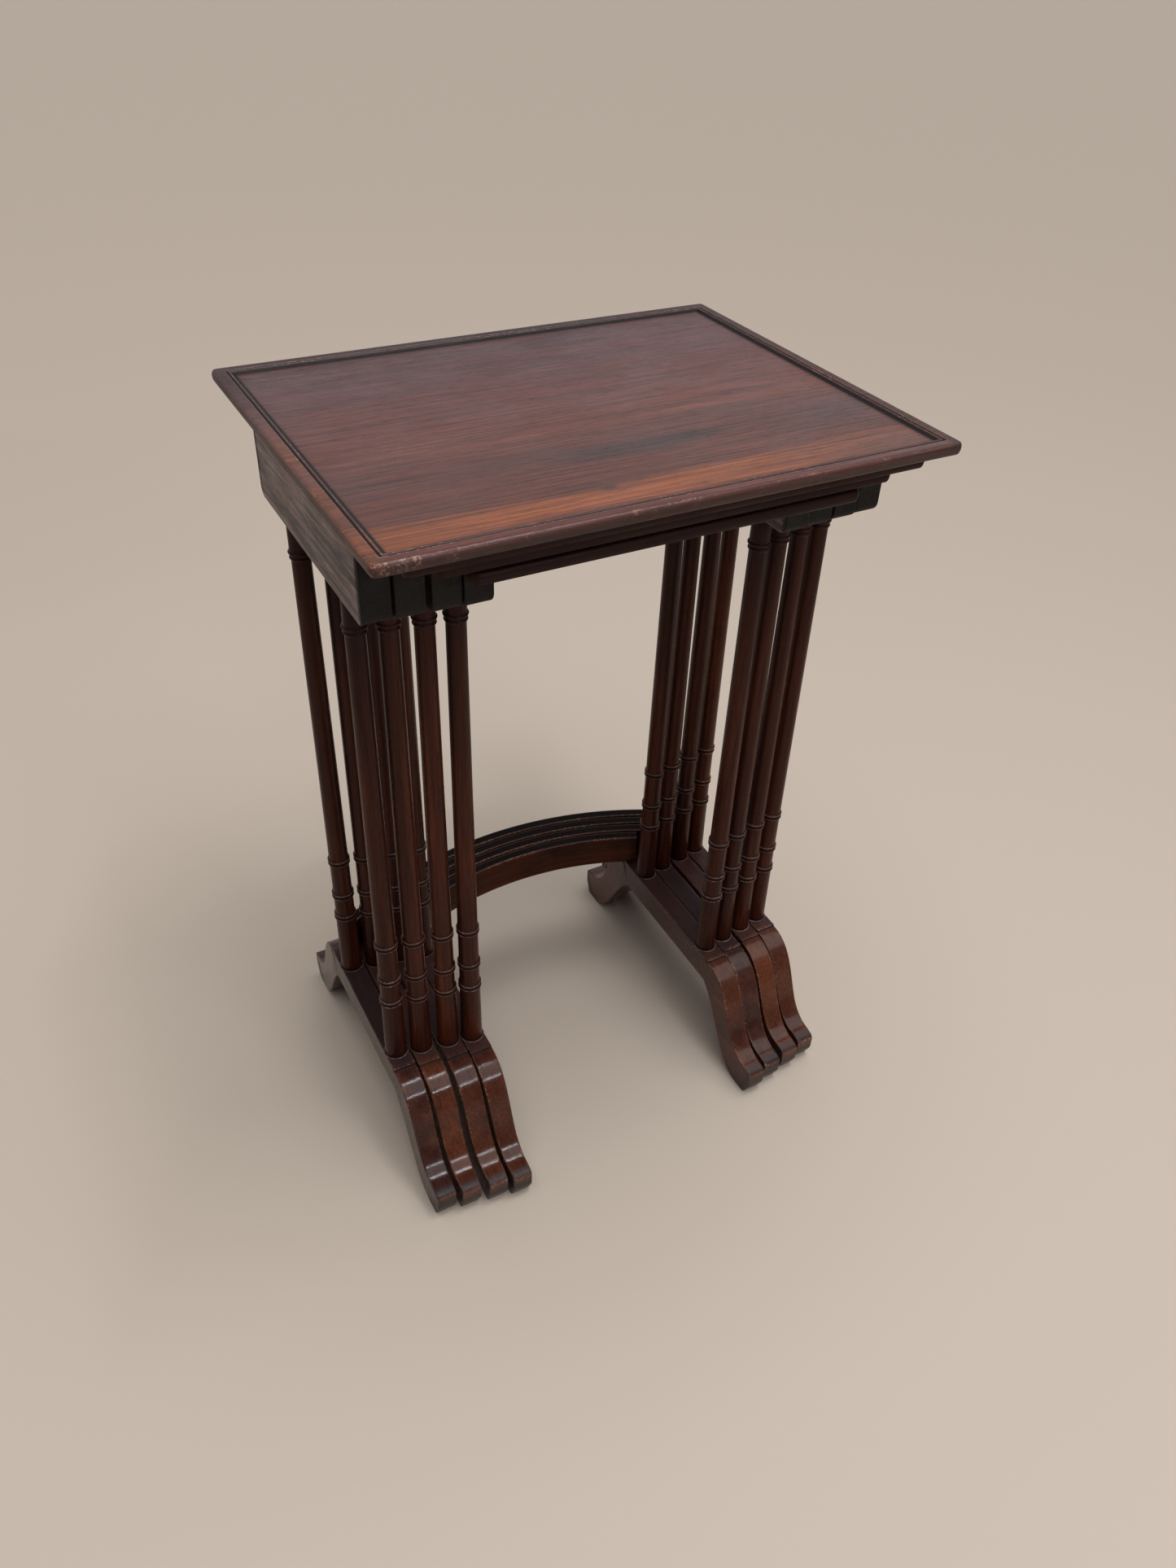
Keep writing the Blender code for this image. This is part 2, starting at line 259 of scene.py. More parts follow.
# --- materials ------------------------------------------------------------------------------------
def tone(red, green, blue):
    """A colour given as 0-255 screen values, as the linear colour that nodes take."""
    linear = []
    for value in (red, green, blue):
        value /= 255
        linear.append(value / 12.92 if value <= 0.04045 else ((value + 0.055) / 1.055) ** 2.4)
    return (*linear, 1.0)


WARM_TONE = tone(112, 58, 30)
# pieces cut from redder or yellower timber than their neighbours
WARMTH = {
    "second_left_sledge_foot": 0.6,
    "third_left_sledge_foot": 0.3,
    "smallest_left_sledge_foot": 0.3,
    "second_right_sledge_foot": 0.6,
    "largest_right_sledge_foot": 0.35,
    "smallest_right_sledge_foot": 0.35,
    "smallest_stretcher": 0.25,
    "largest_back_right_column": 0.3,
}


class Nodes:
    """The node tree of one material."""

    def __init__(self, name):
        self.material = bpy.data.materials.new(name)
        self.material.use_nodes = True
        self.tree = self.material.node_tree
        self.shader = self.tree.nodes["Principled BSDF"]

    def put(self, target, value):
        if isinstance(value, bpy.types.NodeSocket):
            self.tree.links.new(value, target)
        else:
            target.default_value = value

    def add(self, kind, values=(), **settings):
        node = self.tree.nodes.new("ShaderNode" + kind)
        for name, value in settings.items():
            setattr(node, name, value)
        for socket, value in dict(values).items():
            self.put(node.inputs[socket], value)
        return node

    def read(self, name, output="Fac"):
        return self.add("Attribute", attribute_name=name).outputs[output]

    def math(self, operation, first, second=0.0, clamp=False):
        node = self.add("Math", {0: first, 1: second}, operation=operation, use_clamp=clamp)
        return node.outputs[0]

    def vector(self, operation, first, second):
        node = self.add("VectorMath", {0: first, 1: second}, operation=operation)
        return node.outputs[0]

    def noise(self, vector, detail, roughness):
        values = {"Vector": vector, "Scale": 1.0, "Detail": detail, "Roughness": roughness}
        return self.add("TexNoise", values).outputs[0]

    def spread(self, value, low, high, to_low=0.0, to_high=1.0, smooth=True):
        values = {0: value, 1: low, 2: high, 3: to_low, 4: to_high}
        kind = "SMOOTHSTEP" if smooth else "LINEAR"
        return self.add("MapRange", values, interpolation_type=kind).outputs[0]

    def mix(self, factor, first, second, blend="MIX"):
        node = self.add("Mix", data_type="RGBA", blend_type=blend)
        for socket, value in ((0, factor), (6, first), (7, second)):
            self.put(node.inputs[socket], value)
        return node.outputs[2]

    def ramp(self, factor, stops):
        node = self.add("ValToRGB", {0: factor})
        marks = node.color_ramp.elements
        while len(marks) < len(stops):
            marks.new(0.5)
        for mark, (place, colour) in zip(marks, stops):
            mark.position = place
            mark.color = colour
        return node.outputs[0]


def wood(
    name,
    tones,
    worn,
    gloss=(0.24, 0.40),
    lines=0.24,
    shine=0.4,
    feature=None,
    open_grain=0.5,
    coarse=1.0,
    soil_and_shade_tone=tone(26, 12, 10),
):
    """French-polished mahogany: figure, fine lines, pores, worn arrises, dirt, painted highlight lines and
    painted shade in quirks, under overhangs and on unlit faces.
    """
    n = Nodes(name)
    grain = n.read("grain", "Vector")
    wear_and_highlight = n.read("wear_and_highlight")
    dirt_and_shade = n.read("dirt_and_shade")

    sway = n.noise(n.vector("MULTIPLY", grain, (4.0, 9.0, 9.0)), 2.0, 0.5)
    lean = n.math("MULTIPLY", n.math("SUBTRACT", sway, 0.5), 0.010)
    shift = n.add("CombineXYZ", {1: lean, 2: lean}).outputs[0]
    fibre = n.vector("ADD", grain, shift)

    figure = n.noise(n.vector("MULTIPLY", fibre, (2.6, 42.0 * coarse, 42.0 * coarse)), 7.0, 0.7)
    streak = n.noise(n.vector("MULTIPLY", fibre, (8.0, 380.0 * coarse, 380.0 * coarse)), 4.0, 0.66)
    hair = n.noise(n.vector("MULTIPLY", fibre, (22.0, 1250.0, 1250.0)), 2.0, 0.6)
    pore_noise = n.noise(n.vector("MULTIPLY", fibre, (80.0, 1900.0, 1900.0)), 1.0, 0.5)
    pores = n.spread(pore_noise, 0.56, 0.66)
    patch = n.noise(n.vector("MULTIPLY", grain, (16.0, 22.0, 22.0)), 3.0, 0.6)
    grit = n.noise(n.vector("MULTIPLY", grain, (420.0, 420.0, 420.0)), 3.0, 0.7)

    colour = n.ramp(n.spread(figure, 0.3, 0.7, smooth=False), tones)
    if feature:
        colour = feature(n, grain, fibre, colour)
    warm = n.math("MULTIPLY", n.read("warm"), n.spread(patch, 0.25, 0.6))
    colour = n.mix(warm, colour, WARM_TONE)
    band = n.spread(streak, 0.36, 0.62, 1.0 - lines * 1.3, 1.0 + lines, smooth=False)
    colour = n.mix(1.0, colour, band, "MULTIPLY")
    fine = n.spread(hair, 0.35, 0.65, 1.0 - lines * 0.6, 1.0 + lines * 0.5, smooth=False)
    colour = n.mix(1.0, colour, fine, "MULTIPLY")
    dash = n.spread(pores, 0.0, 1.0, 1.0, 1.0 - open_grain * 0.75, smooth=False)
    colour = n.mix(1.0, colour, dash, "MULTIPLY")

    # wear up to 1 is broken into flecks; anything above 1 is worn right through, and this solid part also
    # paints highlight lines on beads and column feet
    rub_and_highlight = n.math("MULTIPLY", wear_and_highlight, n.spread(patch, 0.44, 0.62, 0.2, 1.0))
    rub_and_highlight = n.math("MULTIPLY", rub_and_highlight, n.spread(grit, 0.48, 0.62))
    solid = n.math("SUBTRACT", wear_and_highlight, 1.0, clamp=True)
    rub_and_highlight = n.math("ADD", rub_and_highlight, solid, clamp=True)
    colour = n.mix(rub_and_highlight, colour, worn)
    # dirt darkens towards the soiled tone, and strong values to near black: real dirt, and painted shade
    # in quirks, under overhangs and on unlit faces
    soil_and_shade_amount = n.math("MULTIPLY", dirt_and_shade, n.spread(grit, 0.2, 0.6, 0.8, 1.0), clamp=True)
    colour = n.mix(soil_and_shade_amount, colour, soil_and_shade_tone)
    colour = n.mix(n.spread(soil_and_shade_amount, 0.7, 0.95), colour, tone(13, 8, 8))
    n.put(n.shader.inputs["Base Color"], colour)

    matt = n.spread(patch, 0.3, 0.7, gloss[0], gloss[1])
    matt = n.math("ADD", matt, n.math("MULTIPLY", pores, 0.12 * open_grain))
    matt = n.math("ADD", matt, n.math("MULTIPLY", soil_and_shade_amount, 0.3))
    matt = n.math("ADD", matt, n.math("MULTIPLY", n.math("SUBTRACT", grit, 0.5), 0.12), clamp=True)
    n.put(n.shader.inputs["Roughness"], matt)

    height = n.math("MULTIPLY", pores, -open_grain)
    height = n.math("ADD", height, n.math("MULTIPLY", streak, 0.55))
    height = n.math("ADD", height, n.math("MULTIPLY", patch, 1.2))
    height = n.math("ADD", height, n.math("MULTIPLY", grit, 0.12))
    bump = n.add("Bump", {"Height": height, "Strength": 0.35, "Distance": 0.00035})
    n.put(n.shader.inputs["Normal"], bump.outputs[0])
    n.shader.inputs["Specular IOR Level"].default_value = shine
    return n.material


def lens(n, grain, centre, half_size, soft):
    """1 inside an ellipse in the plane of a top, falling to 0 over a soft edge."""
    offset = n.vector("SUBTRACT", grain, (*centre, 0.0))
    scaled = n.vector("MULTIPLY", offset, (1 / half_size[0], 1 / half_size[1], 0.0))
    length = n.add("VectorMath", {0: scaled}, operation="LENGTH").outputs["Value"]
    return n.spread(length, 1.0 - soft, 1.0 + soft, 1.0, 0.0)


def largest_top_bands(n, grain, fibre, colour):
    """The board's own figure: greyer at the back, a bright band at the front, two dark patches, a knot."""
    across = n.add("SeparateXYZ", {0: fibre}).outputs[1]
    ragged = n.noise(n.vector("MULTIPLY", fibre, (5.0, 120.0, 0.0)), 4.0, 0.65)
    across = n.math("ADD", across, n.math("MULTIPLY", n.math("SUBTRACT", ragged, 0.5), 0.030))
    place = n.spread(across, -0.187, 0.187, smooth=False)
    bands = n.ramp(
        place,
        (
            (0.000, tone(96, 42, 33)),
            (0.055, tone(104, 48, 36)),
            (0.075, tone(148, 78, 38)),
            (0.130, tone(148, 80, 40)),
            (0.155, tone(92, 48, 38)),
            (0.250, tone(94, 49, 38)),
            (0.300, tone(80, 44, 38)),
            (0.420, tone(104, 52, 39)),
            (0.600, tone(96, 47, 39)),
            (0.800, tone(80, 38, 37)),
            (1.000, tone(72, 34, 37)),
        ),
    )
    colour = n.mix(0.75, colour, bands)
    along = n.add("SeparateXYZ", {0: fibre}).outputs[0]
    fade = n.math("MULTIPLY", n.spread(along, 0.02, 0.22), n.spread(place, 0.155, 0.13, 0.0, 0.75))
    colour = n.mix(fade, colour, tone(90, 54, 48))
    dark = n.math("MULTIPLY", lens(n, fibre, (0.008, -0.081), (0.075, 0.013), 0.3), 0.62)
    colour = n.mix(dark, colour, tone(50, 34, 32))
    dark = n.math("MULTIPLY", lens(n, fibre, (0.193, -0.089), (0.030, 0.010), 0.35), 0.45)
    colour = n.mix(dark, colour, tone(52, 36, 34))
    knot = n.math("MULTIPLY", lens(n, grain, (-0.047, -0.137), (0.0055, 0.0028), 0.7), 0.7)
    colour = n.mix(knot, colour, tone(50, 30, 24))
    return colour


def steel():
    n = Nodes("screw_steel")
    place = n.read("grain", "Vector")
    blotch = n.noise(n.vector("MULTIPLY", place, (500.0, 500.0, 500.0)), 4.0, 0.65)
    colour = n.mix(n.spread(blotch, 0.42, 0.62), tone(150, 140, 124), tone(82, 62, 46))
    n.put(n.shader.inputs["Base Color"], colour)
    n.put(n.shader.inputs["Roughness"], n.spread(blotch, 0.35, 0.7, 0.34, 0.68))
    bump = n.add("Bump", {"Height": blotch, "Strength": 0.3, "Distance": 0.0001})
    n.put(n.shader.inputs["Normal"], bump.outputs[0])
    n.shader.inputs["Metallic"].default_value = 0.9
    return n.material


MATERIALS = {
    "largest_top": wood(
        "largest_top_mahogany",
        ((0.0, tone(66, 34, 28)), (0.5, tone(90, 47, 37)), (1.0, tone(108, 60, 44))),
        worn=tone(200, 156, 138),
        gloss=(0.28, 0.38),
        lines=0.34,
        shine=0.5,
        feature=largest_top_bands,
        open_grain=0.45,
    ),
    "top": wood(
        "top_mahogany",
        ((0.0, tone(38, 18, 14)), (0.5, tone(56, 27, 21)), (1.0, tone(74, 38, 28))),
        worn=tone(120, 84, 70),
        shine=0.12,
        lines=0.22,
    ),
    # the rail's greyish pale tones paint the bright wall's reflection at grazing on the outer faces over
    # the mahogany's figure: a painted sheen
    "rail": wood(
        "rail_mahogany",
        ((0.0, tone(60, 44, 43)), (0.5, tone(106, 83, 81)), (1.0, tone(144, 123, 119))),
        worn=tone(132, 104, 88),
        gloss=(0.34, 0.48),
        lines=0.7,
        shine=0.3,
        # this near-black tone paints the shade on hidden faces and end faces
        soil_and_shade_tone=tone(14, 8, 9),
        open_grain=0.9,
        coarse=0.5,
    ),
    # the column's worn tone also colours the painted highlight lines on the ring beads and the foot
    "column": wood(
        "column_mahogany",
        ((0.0, tone(38, 15, 11)), (0.5, tone(62, 27, 17)), (1.0, tone(88, 42, 24))),
        worn=tone(124, 100, 94),
        gloss=(0.20, 0.30),
        lines=0.22,
        shine=0.12,
    ),
    "sledge_foot": wood(
        "sledge_mahogany",
        ((0.0, tone(42, 20, 17)), (0.5, tone(62, 32, 26)), (1.0, tone(84, 46, 32))),
        worn=tone(136, 104, 90),
        gloss=(0.10, 0.17),
        lines=0.22,
        shine=0.28,
        soil_and_shade_tone=tone(48, 40, 42),
    ),
    "stretcher": wood(
        "stretcher_mahogany",
        ((0.0, tone(34, 14, 10)), (0.5, tone(54, 24, 15)), (1.0, tone(78, 38, 23))),
        worn=tone(132, 104, 90),
        gloss=(0.34, 0.46),
        lines=0.22,
        shine=0.1,
        # this near-black tone paints the shade on the flat tops
        soil_and_shade_tone=tone(12, 7, 7),
    ),
    "screw": steel(),
}


# --- tops -----------------------------------------------------------------------------------------
TOP_CORNER = 5.0
LEAST_CORNER = 0.7
CORNER_STEPS = 6
LARGEST_STEPS = (220, 150)  # points along a side in x and y
SMALLER_STEPS = (110, 80)
NICK_COUNT = 26  # light nicks spread round the edge of each top
NICK_REACH = (1.6, 3.2)
NICK_DEPTH = (0.08, 0.28)
BRUISE_COUNT = (16, 4, 4, 4)  # deeper ones along the front, near the left corner
BRUISE_RUN = 85.0
BRUISE_REACH = (1.2, 2.6)
BRUISE_DEPTH = (0.2, 0.6)
CORNER_BRUISE = (1.5, 2.6, 0.8)  # place in from both edges, reach, depth
NICKED_INSET = 4.5  # nicks stay within this distance of the edge
HIDDEN_EDGE = 9.0  # the width of a smaller top's front edge that painted shade darkens
# how dark the painted shade on that edge is
HIDDEN_EDGE_SHADE = 0.6
# the dirt on the underside and the lower half of the nosing is painted shade on faces turned away from the
# light
# (inset from the edge, height above the underside as a share of the thickness, wear, dirt)
NOSING = (
    (40.0, 0.0, 0.0, 0.25),
    (4.0, 0.0, 0.0, 0.3),
    (2.4, 0.0, 0.1, 0.3),
    (1.5, 0.05, 0.0, 0.7),
    (0.9, 0.14, 0.0, 0.7),
    (0.4, 0.27, 0.0, 0.7),
    (0.1, 0.42, 0.0, 0.7),
    (0.0, 0.56, 0.0, 0.68),
    (0.1, 0.70, 0.0, 0.6),
    (0.45, 0.83, 0.05, 0.4),
    (1.05, 0.93, 0.15, 0.15),
    (1.85, 0.985, 0.3, 0.15),
    (2.8, 1.0, 0.1, 0.15),
    (4.2, 1.0, 0.0, 0.05),
)
# on the rim's moulding, wear above 1 at the quirk's outer arris and on the bead paints thin highlight
# lines, and the high dirt in the quirks and along the foot of the step down to the field paints dark
# shadow lines
# the same inside the flat rim, but with the height in millimetres below the rim
RIM_MOULDING = (
    (8.8, 0.0, 0.0, 0.05),
    (9.5, -0.02, 1.25, 0.1),
    (9.9, -0.45, 0.0, 1.0),
    (10.3, -1.05, 0.0, 1.0),
    (11.1, -1.05, 0.0, 1.0),
    (11.45, -0.45, 0.0, 0.8),
    (11.75, -0.14, 0.2, 0.6),
    (12.2, -0.02, 0.4, 0.5),
    (12.7, -0.02, 1.15, 0.3),
    (13.15, -0.20, 0.2, 0.6),
    (13.5, -0.70, 0.0, 0.7),
    (13.9, -1.50, 0.0, 1.0),
    (14.4, -2.35, 0.0, 1.0),
    (15.3, -2.55, 0.0, 1.0),
    (15.9, -2.45, 0.0, 0.9),
    (16.4, -2.22, 0.0, 0.95),
    (17.2, -2.2, 0.0, 0.4),
    (18.2, -2.2, 0.0, 0.15),
    (21.0, -2.2, 0.0, 0.03),
    (30.0, -2.2, 0.0, 0.0),
)


def plan_ring(half_x, half_y, corner, height, steps_x, steps_y):
    """A rounded rectangle at one height, with evenly spaced points along its sides."""
    points = []
    flat_x = half_x - corner
    flat_y = half_y - corner
    quarters = (
        ((flat_x, flat_y), 0, (-1, 0), 2 * flat_x, steps_x),
        ((-flat_x, flat_y), 90, (0, -1), 2 * flat_y, steps_y),
        ((-flat_x, -flat_y), 180, (1, 0), 2 * flat_x, steps_x),
        ((flat_x, -flat_y), 270, (0, 1), 2 * flat_y, steps_y),
    )
    for centre, start, direction, length, steps in quarters:
        curve = arc(centre, corner, start, start + 90, CORNER_STEPS)
        points += curve
        for i in range(1, steps):
            reach = length * i / steps
            last = curve[-1]
            points.append((last[0] + direction[0] * reach, last[1] + direction[1] * reach))
    return [(x, y, height) for x, y in points]


def nick_field(half_x, half_y, seed, count, worst):
    """Small bruises along the edge: (x, y, reach, depth). The worst are near the left front corner."""
    dice = random.Random(seed)
    nicks = []
    for _ in range(count):
        if dice.random() < 0.5:
            place = (dice.uniform(-half_x, half_x), -half_y)
        else:
            place = (dice.choice((-half_x, half_x)), dice.uniform(-half_y, half_y))
        nicks.append((*place, dice.uniform(*NICK_REACH), dice.uniform(*NICK_DEPTH)))
    for _ in range(worst):
        along = dice.uniform(0.0, 1.0) ** 1.4 * BRUISE_RUN
        place = (-half_x + along, -half_y)
        nicks.append((*place, dice.uniform(*BRUISE_REACH), dice.uniform(*BRUISE_DEPTH)))
    inward, reach, depth = CORNER_BRUISE
    nicks.append((-half_x + inward, -half_y + inward, reach, depth))
    return nicks


def bruise(shape, ring, nicks, half_x, half_y, shows_wear):
    """Presses the nicks into one ring of a top's edge, inwards and down."""
    for vert in ring:
        for x, y, reach, depth in nicks:
            distance = math.hypot(vert.co.x - x, vert.co.y - y)
            if distance < 2.2 * reach:
                bite = depth * math.exp(-((distance / reach) ** 2))
                pull = Vector((-vert.co.x / half_x, -vert.co.y / half_y, -0.8)).normalized()
                vert.co += pull * bite
                if shows_wear:
                    vert[shape.wear_and_highlight] = min(1.0, vert[shape.wear_and_highlight] + 1.6 * bite)


def top_board(index):
    name = TABLES[index] + "_top"
    largest = index == 0
    low, high = box_mm(name)
    half_x, half_y = (high.x - low.x) / 2, (high.y - low.y) / 2
    centre = ((low.x + high.x) / 2, (low.y + high.y) / 2)
    thick = high.z - low.z
    steps = LARGEST_STEPS if largest else SMALLER_STEPS
    section = [(i, low.z + h * thick, w, d) for i, h, w, d in NOSING]
    section += [(i, high.z + h, w, d) for i, h, w, d in RIM_MOULDING]
    nicks = nick_field(half_x, half_y, name, NICK_COUNT, BRUISE_COUNT[index])
    shape = Shape()
    rings = []
    for inward, height, wear_and_highlight, dirt_and_shade in section:
        corner = max(TOP_CORNER - inward, LEAST_CORNER)
        points = plan_ring(half_x - inward, half_y - inward, corner, height, *steps)
        ring = shape.ring(points, wear_and_highlight, dirt_and_shade)
        if inward < NICKED_INSET and height > low.z + 0.1 * thick:
            bruise(shape, ring, nicks, half_x, half_y, largest)
        rings.append(ring)
    shape.skin(rings)
    piece = mesh_object(name + "_board", shape, (*centre, 0.0))
    if not largest:
        # the front edges of the smaller tops sit back in the dark under the larger top's overhang: painted
        # shade darkens them
        layer = piece.data.attributes["dirt_and_shade"]
        edge_y = (centre[1] - half_y) * MM
        for vert, entry in zip(piece.data.vertices, layer.data):
            if vert.co.y < edge_y + HIDDEN_EDGE * MM:
                entry.value = max(entry.value, HIDDEN_EDGE_SHADE)
    holes = Shape()
    for x_name, _ in SIDES:
        for y_name, _ in ENDS:
            _, screw_high, middle = span_mm(f"{TABLES[index]}_{y_name}_{x_name}_screw")
            roof = screw_high.z + 0.4
            bore = ((SCREW_SHANK_BORE, low.z - PAST_FACE, 0, 0), (SCREW_SHANK_BORE, roof, 0, 0))
            add_shape(holes, lathe(bore, 16, middle))
    cut(piece, holes)
    material = MATERIALS["largest_top" if largest else "top"]
    settle(piece, name, TABLES[index] + "_table", material, lambda co: co)
    if largest:
        rim_shades(piece, centre, half_x, half_y, high.z)


RIM_WIDTH = 9.3
RIM_DEPTH = 4.0  # only points this close below the rim's top are shaded
# (place along y where the change begins, length over which it would grow to 1)
RIM_WARM_RUN = (60.0, 90.0)
RIM_DARK_RUN = (40.0, 200.0)
# how dark the painted shade gets on the left rim towards the back and on the back and right rims
RIM_LEFT_SHADE = 0.5
RIM_FAR_SHADE = 0.55


def rim_shades(piece, centre, half_x, half_y, top):
    """The largest top's rim: yellower at the left towards the front, and darker at the back and right with
    painted shade.
    """
    data = piece.data
    warm = data.attributes["warm"].data
    dirt_and_shade = data.attributes["dirt_and_shade"].data
    for i, vert in enumerate(data.vertices):
        x, y = vert.co.x / MM - centre[0], vert.co.y / MM - centre[1]
        if vert.co.z < (top - RIM_DEPTH) * MM:
            continue
        if x < RIM_WIDTH - half_x:
            warm[i].value = min(1.0, max(0.0, (RIM_WARM_RUN[0] - y) / RIM_WARM_RUN[1]))
            shade = min(RIM_LEFT_SHADE, max(0.0, (y - RIM_DARK_RUN[0]) / RIM_DARK_RUN[1]))
            dirt_and_shade[i].value = max(dirt_and_shade[i].value, shade)
        elif x > half_x - RIM_WIDTH or y > half_y - RIM_WIDTH:
            dirt_and_shade[i].value = max(dirt_and_shade[i].value, RIM_FAR_SHADE)


def add_shape(whole, part):
    """Copies one shape's faces into another."""
    places = {vert: whole.mesh.verts.new(vert.co) for vert in part.mesh.verts}
    for face in part.mesh.faces:
        whole.mesh.faces.new([places[vert] for vert in face.verts])
    part.mesh.free()


# --- rails ----------------------------------------------------------------------------------------
RAIL_CORNER = 9.0
RAIL_EASE = 0.9
REBATE_CLEARANCE = 0.8
END_ROW = 0.93  # an extra row of points this share of the way to each end
END_FACE = 0.97  # points beyond this share belong to the end's face
# painted shade on the rails' end faces, darkest on the front ends, which face away from the light
END_SHADE = {"front": 1.0, "back": 0.75}
# painted shade on faces that sit under a larger top or face inwards between the frames
HIDDEN_FACE_SHADE = 0.6


def rail(index, x_name, side):
    name = f"{TABLES[index]}_{x_name}_rail"
    low, high, centre = span_mm(name)
    half = (high.x - low.x) / 2
    length = (high.y - low.y) / 2
    rebate = index + 1 < len(TABLES)
    if rebate:
        next_low, next_high = box_mm(TABLES[index + 1] + "_top")
        floor = next_low.z - REBATE_CLEARANCE
        wall = side * ((next_high.x - next_low.x) / 2 + REBATE_CLEARANCE) - centre.x
    corner_z = low.z + RAIL_CORNER

    def outline(top):
        points = fillet((length, corner_z), (length, top), (-length, top), RAIL_EASE)
        points += fillet((length, top), (-length, top), (-length, corner_z), RAIL_EASE)
        points += arc((RAIL_CORNER - length, corner_z), RAIL_CORNER, 180, 270, 8)
        points += arc((length - RAIL_CORNER, corner_z), RAIL_CORNER, 270, 360, 8)
        return points

    def top_at(offset):
        return floor if rebate and side * (offset - wall) < 0 else high.z

    shape = Shape()
    rings = []
    sections = [(side * o, i, w) for o, i, w in eased_sections(half, RAIL_EASE)]
    whole = [(o, i, w, top_at(o)) for o, i, w in sections]
    if rebate:
        # the step itself takes the place of the sections that are close to its wall
        outer = [s for s in whole if side * (s[0] - wall) > 0.95]
        step = [
            (wall + side * 0.9, 0.0, 0.0, high.z),
            (wall + side * 0.05, 0.0, 0.5, high.z),
            (wall, 0.0, 0.6, high.z - 0.3),
            (wall, 0.0, 0.0, floor),
            (wall - side * 0.9, 0.0, 0.0, floor),
        ]
        inner = [s for s in whole if side * (s[0] - wall) < -0.95]
        whole = outer + step + inner
    for offset, drawn, wear_and_highlight, top in whole:
        flat = inset(outline(top), drawn)
        points = [(centre.x + offset, centre.y + y, z) for y, z in flat]
        rings.append(shape.ring(points, wear_and_highlight, 0.0))
    shape.skin(rings)
    for place in (-END_ROW * length, END_ROW * length):
        shape.slice(1, centre.y + place)
    # painted shade on the end faces and on the hidden faces
    for vert in shape.mesh.verts:
        if vert.co.y < centre.y - END_FACE * length:
            vert[shape.dirt_and_shade] = END_SHADE["front"]
        elif vert.co.y > centre.y + END_FACE * length:
            vert[shape.dirt_and_shade] = END_SHADE["back"]
        elif index > 0 or side * (vert.co.x - centre.x) < 0.8 * half:
            vert[shape.dirt_and_shade] = HIDDEN_FACE_SHADE
    piece = mesh_object(name + "_board", shape)
    holes = Shape()
    mortise = TENON_RADIUS + GLUE_GAP
    for y_name, _ in ENDS:
        _, column_high, middle = span_mm(f"{TABLES[index]}_{y_name}_{x_name}_column")
        profile = ((mortise, low.z - PAST_FACE, 0, 0), (mortise, column_high.z + GLUE_GAP, 0, 0))
        add_shape(holes, lathe(profile, BORE_SIDES, middle))
        screw_low, _, middle = span_mm(f"{TABLES[index]}_{y_name}_{x_name}_screw")
        seat = screw_low.z + SCREW_HEAD_HEIGHT
        profile = (
            (SCREW_HEAD_BORE, low.z - PAST_FACE, 0, 0),
            (SCREW_HEAD_BORE, seat, 0, 0),
            (SCREW_SHANK_BORE, seat, 0, 0),
            (SCREW_SHANK_BORE, high.z + PAST_FACE, 0, 0),
        )
        add_shape(holes, lathe(profile, BORE_SIDES, middle))
    cut(piece, holes)
    settle(
        piece,
        name,
        TABLES[index] + "_table",
        MATERIALS["rail"],
        lambda co: (co.y, co.z, co.x),
        sharp=35.0,
    )


# --- columns --------------------------------------------------------------------------------------
FOOT_TENON = 15.0
TOP_TENON = 20.0
RING_HEIGHTS = (76.0, 105.0, 149.5, 484.0)
NECK_RADIUS = 8.9
SHADED_ABOVE = 400.0  # the shaft darkens between here and the top ring
COLUMN_SIDES = 36
# wear above 1 on the two beads paints their highlight lines, brighter on the upper bead; the dirt in the
# groove between them and at their feet paints shade there
# (height from the ring's middle, how far proud of the shaft, wear, dirt)
RING = (
    (-5.2, 0.00, 0.0, 0.10),
    (-4.2, 0.06, 0.0, 0.45),
    (-3.7, 0.28, 0.0, 0.55),
    (-3.35, 0.80, 0.3, 0.0),
    (-2.95, 1.22, 1.0, 0.0),
    (-2.4, 1.40, 1.35, 0.0),
    (-1.85, 1.22, 1.1, 0.0),
    (-1.45, 0.80, 0.2, 0.6),
    (-1.1, 0.62, 0.0, 0.9),
    (0.0, 0.60, 0.0, 0.8),
    (1.1, 0.62, 0.0, 0.9),
    (1.45, 0.80, 0.2, 0.6),
    (1.85, 1.22, 1.2, 0.0),
    (2.4, 1.40, 1.75, 0.0),
    (2.95, 1.22, 1.4, 0.0),
    (3.35, 0.80, 0.6, 0.0),
    (3.7, 0.28, 0.0, 0.55),
    (4.2, 0.06, 0.0, 0.45),
    (5.2, 0.00, 0.0, 0.10),
)


def shaft_radius(height):
    low, high = RING_HEIGHTS[0], RING_HEIGHTS[-1]
    if height <= low:
        return 10.7 - 0.8 * height / low
    if height > high:
        return NECK_RADIUS
    return 9.7 - 1.5 * (height - low) / (high - low)


